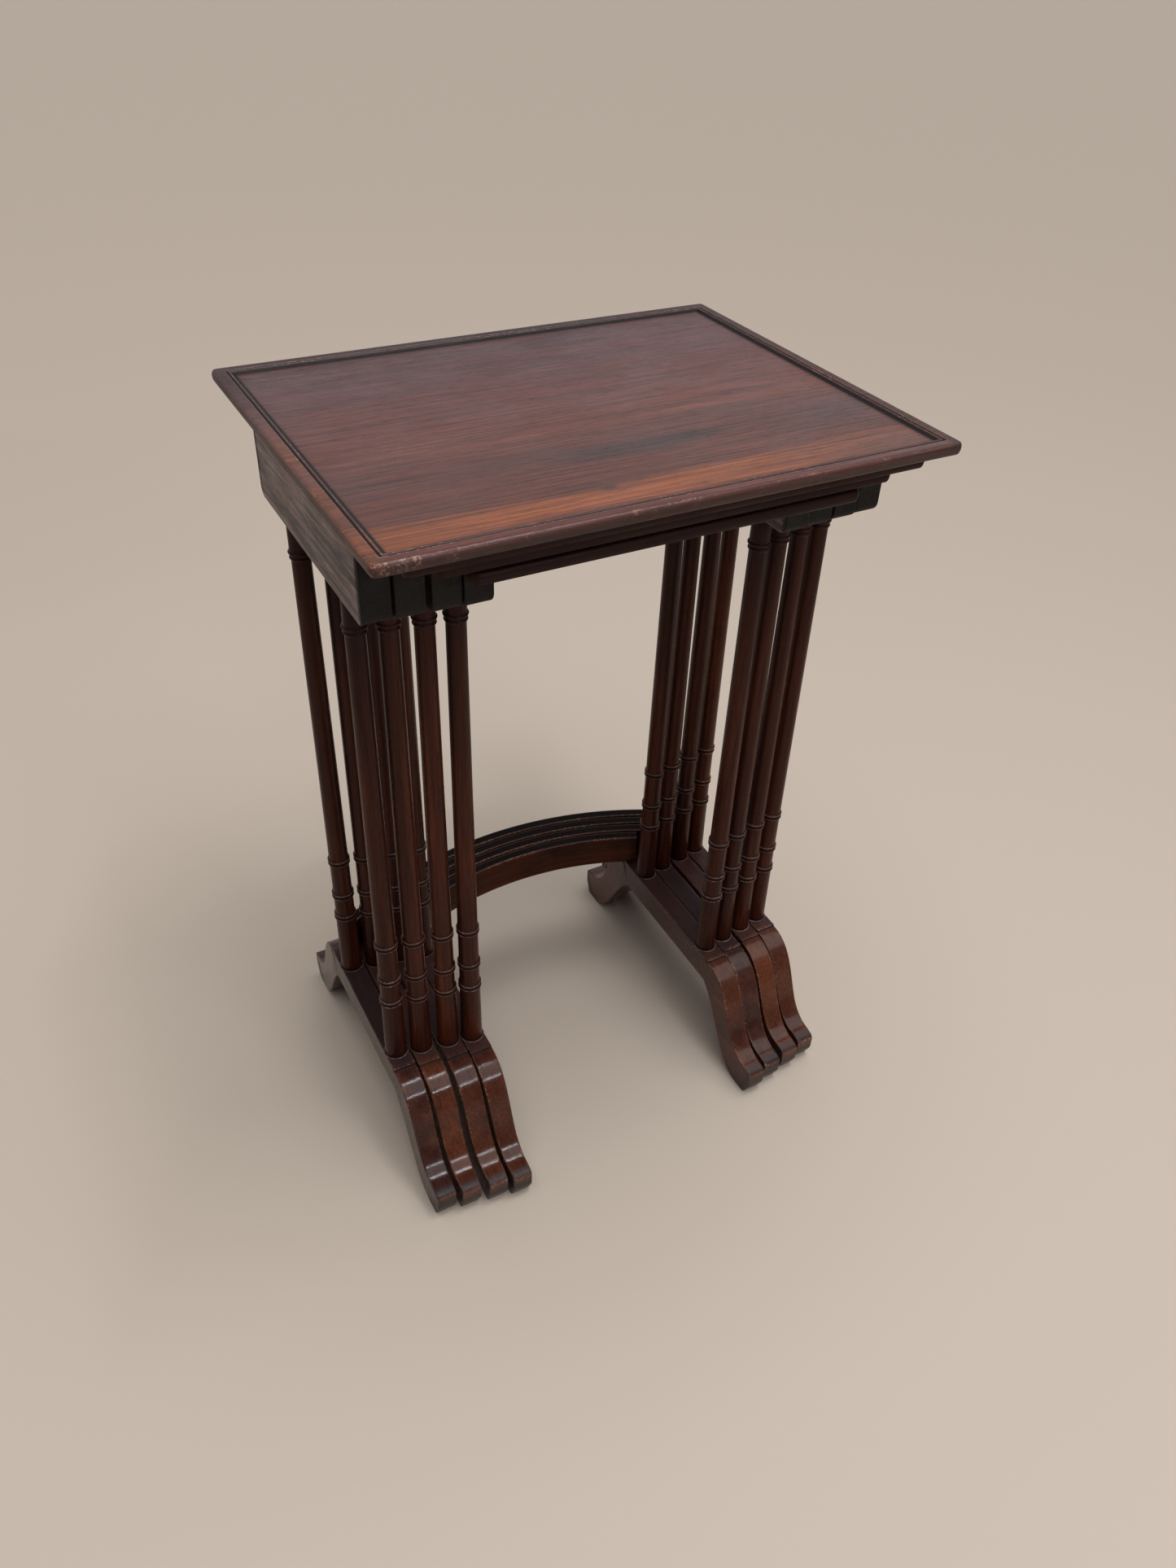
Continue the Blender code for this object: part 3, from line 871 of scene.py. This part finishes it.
def column(index, x_name, y_name):
    name = f"{TABLES[index]}_{y_name}_{x_name}_column"
    low, high, middle = span_mm(name)
    base = low.z + FOOT_TENON
    length = high.z - TOP_TENON - base
    profile = [
        (TENON_RADIUS, -FOOT_TENON, 0, 0),
        (TENON_RADIUS, 0.0, 0, 0),
        # the small flare at the foot has wear above 1, which paints a light highlight ring on it, and the
        # dirt just above it paints a dark shadow line where the shaft meets the flare
        (shaft_radius(0) + 1.5, 0.0, 1.2, 0.0),
        (shaft_radius(0) + 1.3, 0.25, 1.4, 0.0),
        (shaft_radius(0) + 0.6, 0.45, 1.1, 0.2),
        (shaft_radius(0) + 0.1, 0.5, 0.0, 1.0),
        (shaft_radius(0) - 0.45, 0.7, 0.0, 1.0),
        (shaft_radius(0) - 0.2, 1.2, 0.0, 0.8),
        (shaft_radius(0), 2.0, 0.0, 0.5),
        (shaft_radius(3), 3.0, 0.0, 0.25),
        (shaft_radius(12), 12.0, 0.0, 0.0),
    ]
    for i, centre in enumerate(RING_HEIGHTS):
        topmost = i + 1 == len(RING_HEIGHTS)
        for height, proud, wear_and_highlight, dirt_and_shade in RING:
            at = centre + height
            radius = shaft_radius(min(max(at, 0.0), length)) + proud
            if topmost:
                # under the rail, where the top keeps the light off, so it gets painted shade and no
                # painted highlight line, only a few worn flecks
                wear_and_highlight, dirt_and_shade = 0.3 * wear_and_highlight, max(0.6, dirt_and_shade)
            profile.append((radius, at, wear_and_highlight, dirt_and_shade))
        if not topmost:
            for share in (0.2, 0.5, 0.8):
                at = centre + share * (RING_HEIGHTS[i + 1] - centre)
                profile.append((shaft_radius(at), at, 0.0, 0.35 if at > SHADED_ABOVE else 0.0))
    profile += [
        # painted shade on the neck under the rail, darkest where it meets the rail
        (NECK_RADIUS - 0.1, 500.0, 0.0, 0.6),
        (NECK_RADIUS - 0.1, length - 1.2, 0.0, 0.7),
        (NECK_RADIUS - 0.5, length, 0.0, 1.0),
        (TENON_RADIUS, length, 0, 0),
        (TENON_RADIUS, length + TOP_TENON, 0, 0),
    ]
    profile = [(r, base + h, w, d) for r, h, w, d in profile]
    piece = mesh_object(name + "_turning", lathe(profile, COLUMN_SIDES, middle))
    settle(
        piece,
        name,
        TABLES[index] + "_table",
        MATERIALS["column"],
        lambda co: (co.z, co.x, co.y),
        sharp=50.0,
    )


# --- sledge feet ----------------------------------------------------------------------------------
SLEDGE_TOP = 121.0
SLEDGE_UNDER = 89.0
SLEDGE_STEP = 1.8
FLAT = {"front": 88.0, "back": 98.0}
TAPER_FROM = 98.0
OGEE = ((140.0, 118.0), (128.0, 38.0), (172.0, 36.0))
TOE = ((184.0, 31.0), (184.0, 15.0), (177.0, 0.0))
SOLE = ((163.0, 0.0), (126.0, 0.0), (114.0, 66.0), (84.0, SLEDGE_UNDER))
TOE_CHAMFER = (180.6, 34.4)
TOE_REACH = TOE[0][0]
TOE_HALF = 9.8
COLUMN_Y = 64.5
# extra rows of points about a column's foot and along the ogee
SEAT_ROWS = (-18.0, -13.5, -11.0, -8.0, 8.0, 11.0, 13.5, 18.0)
OGEE_ROWS = (115.0, 135.0, 155.0, 170.0)
SEAT_SHADE = (14.5, 3.5)  # where the painted shade about a column's foot begins, and over what length it grows
# the toe's dirt, painted shade and wear begin at these distances from the foot's middle, its arris at this
# height
TOE_DIRTY_FROM = 172.0
TOE_FACE_FROM = 178.0
TOE_ARRIS_FROM = 182.0
TOE_ARRIS_ABOVE = 29.0
SOLE_DIRTY_BELOW = 3.0


def is_clockwise(outline):
    pairs = zip(outline, outline[1:] + outline[:1])
    return sum(a[0] * b[1] - b[0] * a[1] for a, b in pairs) < 0


def soil_and_shade_sledge(shape, half):
    """Tapers a sledge foot's ends to the toes and marks its wear, its dirt and its painted shade."""
    for vert in shape.mesh.verts:
        reach = abs(vert.co.y)
        height = vert.co.z
        past = max(0.0, reach - TAPER_FROM) / (TOE_REACH - TAPER_FROM)
        vert.co.x *= 1.0 - past * (1.0 - TOE_HALF / half)
        if abs(vert.co.x) > half - 0.05 and vert[shape.wear_and_highlight] == 0.0:
            vert[shape.dirt_and_shade] = 0.4
        elif reach > TOE_DIRTY_FROM:
            vert[shape.dirt_and_shade] = 0.45
        elif reach < 100.0 and height > SLEDGE_TOP - 0.5:
            vert[shape.dirt_and_shade] = 0.62
        if reach > TOE_ARRIS_FROM and height > TOE_ARRIS_ABOVE:
            vert[shape.wear_and_highlight] = 1.2
            vert[shape.dirt_and_shade] = 0.1
        # the toe's end face tilts under, away from the light: painted shade
        elif reach > TOE_FACE_FROM:
            vert[shape.dirt_and_shade] = 0.8
        if height < SOLE_DIRTY_BELOW:
            vert[shape.dirt_and_shade] = 0.8
        # the little step at the end of the flat top: a painted shadow line in its quirk under a rubbed
        # arris
        flat = FLAT["front"] if vert.co.y < 0 else FLAT["back"]
        if abs(reach - flat) < 2.5 and height > SLEDGE_TOP - 3.0:
            quirk = height < SLEDGE_TOP - 1.2
            vert[shape.dirt_and_shade] = 1.0 if quirk else 0.1
            vert[shape.wear_and_highlight] = 0.0 if quirk else 0.8


def ogee_end(flat):
    """Half a sledge foot's outline, from the middle of its flat top round the toe to its underside."""
    shoulder = SLEDGE_TOP - SLEDGE_STEP
    points = fillet((0.0, SLEDGE_TOP), (flat, SLEDGE_TOP), (flat, shoulder), 0.45, 2)
    points += bezier(((flat, shoulder), *OGEE), 34)
    points += fillet(OGEE[-1], TOE_CHAMFER, TOE[0], 1.0)
    points += fillet(TOE_CHAMFER, TOE[0], TOE[1], 1.0)
    points += fillet(TOE[0], TOE[1], TOE[2], 4.0)
    points += fillet(TOE[1], TOE[2], SOLE[0], 2.2)
    points += bezier(SOLE, 24)
    return points


def sledge_foot(index, x_name):
    name = f"{TABLES[index]}_{x_name}_sledge_foot"
    low, high, centre = span_mm(name)
    half = (high.x - low.x) / 2
    front = [(-u, z) for u, z in reversed(ogee_end(FLAT["front"]))]
    outline = list(reversed(ogee_end(FLAT["back"]) + front))
    if is_clockwise(outline):
        outline.reverse()
    shape = Shape()
    rings = []
    for offset, drawn, wear_and_highlight in eased_sections(half, 1.0, steps=4):
        points = [(offset, y, z) for y, z in inset(outline, drawn)]
        rings.append(shape.ring(points, wear_and_highlight))
    shape.skin(rings)
    around = [COLUMN_Y + reach for reach in SEAT_ROWS]
    for place in (20.0, *around, TAPER_FROM, *OGEE_ROWS):
        for side in (-1, 1):
            shape.slice(1, side * place)
    soil_and_shade_sledge(shape, half)
    piece = mesh_object(name + "_shape", shape, (centre.x, centre.y, 0.0))
    holes = Shape()
    middles = []
    mortise = TENON_RADIUS + GLUE_GAP
    for y_name, _ in ENDS:
        column_low, _, middle = span_mm(f"{TABLES[index]}_{y_name}_{x_name}_column")
        middles.append(middle)
        bore = ((mortise, column_low.z, 0, 0), (mortise, SLEDGE_TOP + PAST_FACE, 0, 0))
        add_shape(holes, lathe(bore, BORE_SIDES, middle))
    cut(piece, holes)
    # painted shade on the flat top round each column's foot
    for vert, entry in zip(piece.data.vertices, piece.data.attributes["dirt_and_shade"].data):
        if vert.co.z > (SLEDGE_TOP - 0.5) * MM:
            for middle in middles:
                away = math.hypot(vert.co.x / MM - middle.x, vert.co.y / MM - middle.y)
                shade = min(0.9, (SEAT_SHADE[0] - away) / SEAT_SHADE[1])
                entry.value = max(entry.value, shade)
    settle(
        piece,
        name,
        TABLES[index] + "_table",
        MATERIALS["sledge_foot"],
        lambda co: (co.y, co.x, co.z),
        sharp=38.0,
    )


# --- stretchers -----------------------------------------------------------------------------------
BOW_RADIUS = 390.0
BOW_RADIUS_STEP = 17.9
STRETCHER_THICK = 11.2
STRETCHER_STEPS = 72
STRETCHER_OVERRUN = 1.0  # past the middle line of the foot at each end
UPPER_EASE = 1.3
LOWER_EASE = 0.8
LAND = 1.3  # from an eased corner to the first point on the flat face beside it
# across each corner: the front upper arris is rubbed to a light line, the other three only a little
RUBBED_ARRIS = (0.0, 0.8, 1.35, 1.4, 0.9, 0.0)
PLAIN_ARRIS = (0.0, 0.2, 0.4, 0.4, 0.2, 0.0)


def stretcher(index):
    name = TABLES[index] + "_stretcher"
    low, high = box_mm(name)
    radius = BOW_RADIUS - BOW_RADIUS_STEP * index
    centre_y = high.y - radius
    foot_top = SLEDGE_TOP + GLUE_GAP
    frame_low, frame_high = box_mm(TABLES[index] + "_right_rail")
    reach = (frame_low.x + frame_high.x) / 2 + STRETCHER_OVERRUN
    middle = radius - STRETCHER_THICK / 2
    half_angle = math.degrees(math.asin(reach / middle))
    half = STRETCHER_THICK / 2
    # the board's section from the lower front corner round: (out from the middle line, height)
    corners = ((-half, foot_top), (half, foot_top), (half, high.z), (-half, high.z))
    section = []
    wears = []
    for i, corner in enumerate(corners):
        before, after = corners[i - 1], corners[(i + 1) % 4]
        bevel = UPPER_EASE if i > 1 else LOWER_EASE
        lands = [
            tuple(Vector(corner) + (Vector(end) - Vector(corner)).normalized() * (bevel + LAND))
            for end in (before, after)
        ]
        section += [lands[0], *fillet(before, corner, after, bevel), lands[1]]
        wears += RUBBED_ARRIS if i == 3 else PLAIN_ARRIS
    shape = Shape()
    rings = []
    for i in range(STRETCHER_STEPS + 1):
        angle = math.radians(half_angle * (2 * i / STRETCHER_STEPS - 1))
        points = [
            ((middle + out) * math.sin(angle), centre_y + (middle + out) * math.cos(angle), z)
            for out, z in section
        ]
        ring = shape.ring(points)
        for vert, wear_and_highlight in zip(ring, wears):
            vert[shape.wear_and_highlight] = wear_and_highlight
            # the flat top lies in the shadow of the table top above: painted shade
            flat_top = vert.co.z > high.z - 0.2 and wear_and_highlight == 0.0
            vert[shape.dirt_and_shade] = 1.0 if flat_top else 0.0
        rings.append(ring)
    shape.skin(rings)
    piece = mesh_object(name + "_board", shape)

    def along(co):
        angle = math.atan2(co.x, co.y - centre_y * MM)
        return (angle * middle * MM, co.z, math.hypot(co.x, co.y - centre_y * MM))

    settle(
        piece,
        name,
        TABLES[index] + "_table",
        MATERIALS["stretcher"],
        along,
        sharp=35.0,
    )


# --- screws ---------------------------------------------------------------------------------------
SCREW_SIDES = 20
SHANK_RADIUS = 1.9
CORE_RADIUS = 1.25
THREAD_FROM = 9.4
THREAD_PITCH = 1.6
THREAD_ROW = 0.2
POINT_LENGTH = 3.0  # the thread and its core taper over this length
POINT_RADIUS = 0.1
SLOT_SIZE = (9.0, 0.9, 2.0)
# (radius, height above the slotted face, which points down)
SCREW_HEAD = (
    (3.2, 0.0),
    (3.7, 0.2),
    (3.9, 0.7),
    (3.9, 1.5),
    (3.4, SCREW_HEAD_HEIGHT),
    (SHANK_RADIUS, SCREW_HEAD_HEIGHT),
    (SHANK_RADIUS, 9.0),
)


def screw(index, x_name, y_name):
    """A slotted wood screw, head down, with a turned thread on its upper half."""
    name = f"{TABLES[index]}_{y_name}_{x_name}_screw"
    low, high, middle = span_mm(name)
    top = high.z - low.z
    shape = Shape()
    rings = []

    def add_ring(radii, height):
        turned = zip(radii, full_turn(SCREW_SIDES))
        points = [(r * math.cos(angle), r * math.sin(angle), height) for r, angle in turned]
        rings.append(shape.ring(points))

    for radius, height in SCREW_HEAD:
        add_ring([radius] * SCREW_SIDES, height)
    height = THREAD_FROM
    while height < top - 0.4:
        core = CORE_RADIUS * min(1.0, (top - height) / POINT_LENGTH + 0.2)
        radii = []
        for i in range(SCREW_SIDES):
            turn = (height / THREAD_PITCH - i / SCREW_SIDES) % 1.0
            ridge = max(0.0, 1.0 - abs(turn - 0.5) * 5.0)
            proud = (SHANK_RADIUS - CORE_RADIUS) * ridge
            radii.append(core + proud * min(1.0, (top - height) / POINT_LENGTH))
        add_ring(radii, height)
        height += THREAD_ROW
    add_ring([POINT_RADIUS] * SCREW_SIDES, top)
    shape.skin(rings)
    piece = mesh_object(name + "_turned", shape, (middle.x, middle.y, low.z))
    slot = Shape()
    turn = Matrix.Rotation(random.Random(name).uniform(0, math.pi), 4, "Z")
    face = Matrix.Translation((middle.x, middle.y, low.z))
    bmesh.ops.create_cube(slot.mesh, size=1.0, matrix=face @ turn @ Matrix.Diagonal((*SLOT_SIZE, 1)))
    cut(piece, slot)
    settle(
        piece,
        name,
        TABLES[index] + "_table",
        MATERIALS["screw"],
        lambda co: (co.z, co.x, co.y),
        sharp=35.0,
    )


for index in range(len(TABLES)):
    top_board(index)
    for x_name, side in SIDES:
        rail(index, x_name, side)
        sledge_foot(index, x_name)
        for y_name, _ in ENDS:
            column(index, x_name, y_name)
            screw(index, x_name, y_name)
    stretcher(index)


# --- floor, light and camera ----------------------------------------------------------------------
FLOOR_HALF = 30000.0
WALL_LIGHT = 0.56
ROOM_LIGHT = 0.09
COOL = (0.92, 0.96, 1.0)
STRIP_TARGET = (-0.18, -0.1, 0.1)
STRIP_SIZE = (0.75, 0.07)


def pale_floor():
    n = Nodes("floor")
    n.shader.inputs["Base Color"].default_value = tone(200, 186, 172)
    n.shader.inputs["Roughness"].default_value = 0.85
    n.shader.inputs["Specular IOR Level"].default_value = 0.2
    plane = Shape()
    corners = ((-1, -1), (1, -1), (1, 1), (-1, 1))
    ring = plane.ring([(x * FLOOR_HALF, y * FLOOR_HALF, 0) for x, y in corners])
    plane.mesh.faces.new(ring)
    made = mesh_object("floor", plane)
    made.data.materials.append(n.material)


def area_light(name, place, target, size, power, colour=(1.0, 1.0, 1.0)):
    lamp = bpy.data.lights.new(name, "AREA")
    lamp.shape = "RECTANGLE"
    lamp.size, lamp.size_y = size
    lamp.energy = power
    lamp.color = colour
    made = bpy.data.objects.new(name, lamp)
    made.location = place
    made.rotation_mode = "QUATERNION"
    made.rotation_quaternion = (Vector(target) - Vector(place)).to_track_quat("-Z", "Y")
    bpy.context.scene.collection.objects.link(made)


def studio():
    """A dim room with a pale wall behind the nest, a wide sun, a lamp overhead and two strips of light."""
    world = bpy.data.worlds.new("studio")
    bpy.context.scene.world = world
    world.use_nodes = True
    tree = world.node_tree
    sky = tree.nodes["Background"]
    place = tree.nodes.new("ShaderNodeTexCoord")
    split = tree.nodes.new("ShaderNodeSeparateXYZ")
    tree.links.new(place.outputs["Generated"], split.inputs[0])
    parts = []
    # the wall lies towards +Y and fades out upwards
    for axis, low, high in ((1, -0.3, 0.5), (2, 0.64, 0.44)):
        part = tree.nodes.new("ShaderNodeMapRange")
        part.interpolation_type = "SMOOTHSTEP"
        part.inputs[1].default_value = low
        part.inputs[2].default_value = high
        tree.links.new(split.outputs[axis], part.inputs[0])
        parts.append(part.outputs[0])
    wall = tree.nodes.new("ShaderNodeMath")
    wall.operation = "MULTIPLY"
    tree.links.new(parts[0], wall.inputs[0])
    tree.links.new(parts[1], wall.inputs[1])
    total = tree.nodes.new("ShaderNodeMath")
    total.operation = "MULTIPLY_ADD"
    total.inputs[1].default_value = WALL_LIGHT
    total.inputs[2].default_value = ROOM_LIGHT
    tree.links.new(wall.outputs[0], total.inputs[0])
    tree.links.new(total.outputs[0], sky.inputs["Strength"])
    sky.inputs["Color"].default_value = (0.97, 0.97, 1.0, 1.0)
    ceiling = bpy.data.lights.new("ceiling", "SUN")
    ceiling.energy = 2.0
    ceiling.angle = 1.2
    ceiling.color = (1.0, 0.985, 0.97)
    made = bpy.data.objects.new("ceiling", ceiling)
    made.rotation_mode = "QUATERNION"
    made.rotation_quaternion = (-Vector((0.1, -0.2, 1.0))).to_track_quat("-Z", "Y")
    bpy.context.scene.collection.objects.link(made)
    area_light("overhead", (0.3, 0.85, 2.9), (0.0, 0.0, 0.4), (1.8, 1.2), 3.0)
    area_light("high_strip", (0.38, -0.44, 2.6), STRIP_TARGET, STRIP_SIZE, 11.0, COOL)
    area_light("low_strip", (0.34, -1.95, 1.56), STRIP_TARGET, STRIP_SIZE, 9.0, COOL)
    bpy.context.scene.view_settings.view_transform = "Standard"


CAMERA_PLACE = (-0.4442, -0.8156, 1.0739)
CAMERA_HEADING = 29.893  # degrees from +Y towards +X
CAMERA_TILT = 38.229  # degrees below the horizon
CAMERA_ROLL = 2.532  # degrees
CAMERA_LENS = 27.64


def camera():
    heading, tilt, roll = (math.radians(a) for a in (CAMERA_HEADING, CAMERA_TILT, CAMERA_ROLL))
    forward = Vector(
        (
            math.sin(heading) * math.cos(tilt),
            math.cos(heading) * math.cos(tilt),
            -math.sin(tilt),
        )
    )
    level = forward.cross(Vector((0, 0, 1))).normalized()
    up = level.cross(forward)
    right = level * math.cos(roll) + up * math.sin(roll)
    up = right.cross(forward)
    data = bpy.data.cameras.new("camera")
    data.lens = CAMERA_LENS
    data.sensor_width = 36.0
    data.clip_start = 0.02
    data.clip_end = 200.0
    made = bpy.data.objects.new("camera", data)
    turn = Matrix((right, up, -forward)).transposed()
    made.matrix_world = Matrix.Translation(CAMERA_PLACE) @ turn.to_4x4()
    bpy.context.scene.collection.objects.link(made)
    bpy.context.scene.camera = made


pale_floor()
studio()
camera()
